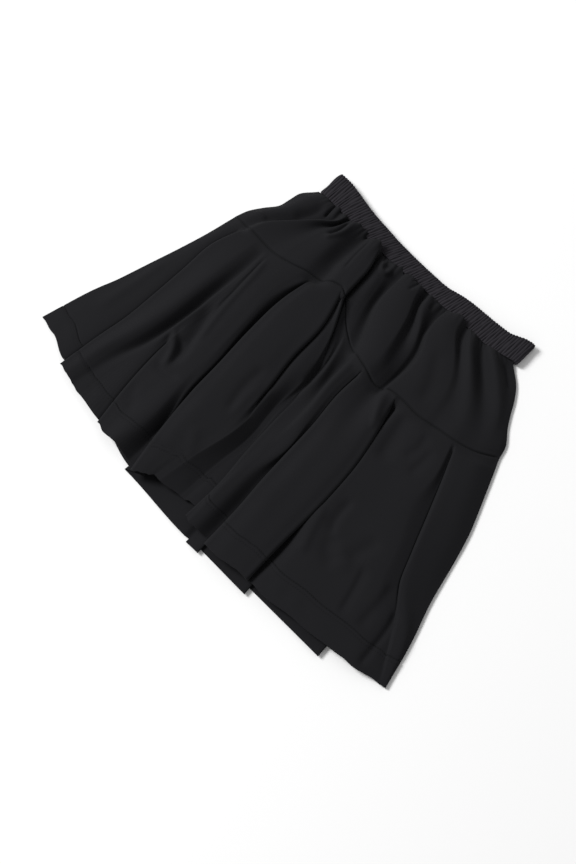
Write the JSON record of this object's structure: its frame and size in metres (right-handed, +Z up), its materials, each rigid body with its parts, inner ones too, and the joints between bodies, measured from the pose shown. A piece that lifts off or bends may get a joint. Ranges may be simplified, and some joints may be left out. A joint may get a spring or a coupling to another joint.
{
  "type": "tennis skort",
  "caption": "Pleated tennis skort laid flat, front up, with a ribbed elastic waistband, a gathered hip yoke, a flared pleated skirt and plain inner shorts.",
  "frame": {"origin": "middle of the laid garment's bounding box, at the surface it rests on", "axes": "+X towards the right end of the waistband as it lies front up, +Y from the hem towards the waist, +Z up from the surface"},
  "size_m": [0.5704, 0.4388, 0.0228],
  "materials": {
    "black_jersey": "matte fine knit",
    "ribbed_elastic": "matte ribbed elastic",
    "shorts_jersey": "smooth stretch knit"
  },
  "bodies": {
    "root": {"waistband": "ribbed_elastic", "yoke_front": "black_jersey", "skirt_front": "black_jersey", "yoke_back": "black_jersey", "skirt_back": "black_jersey", "shorts_front_left": "shorts_jersey", "shorts_front_right": "shorts_jersey", "shorts_back_left": "shorts_jersey", "shorts_back_right": "shorts_jersey"}
  },
  "joints": []
}
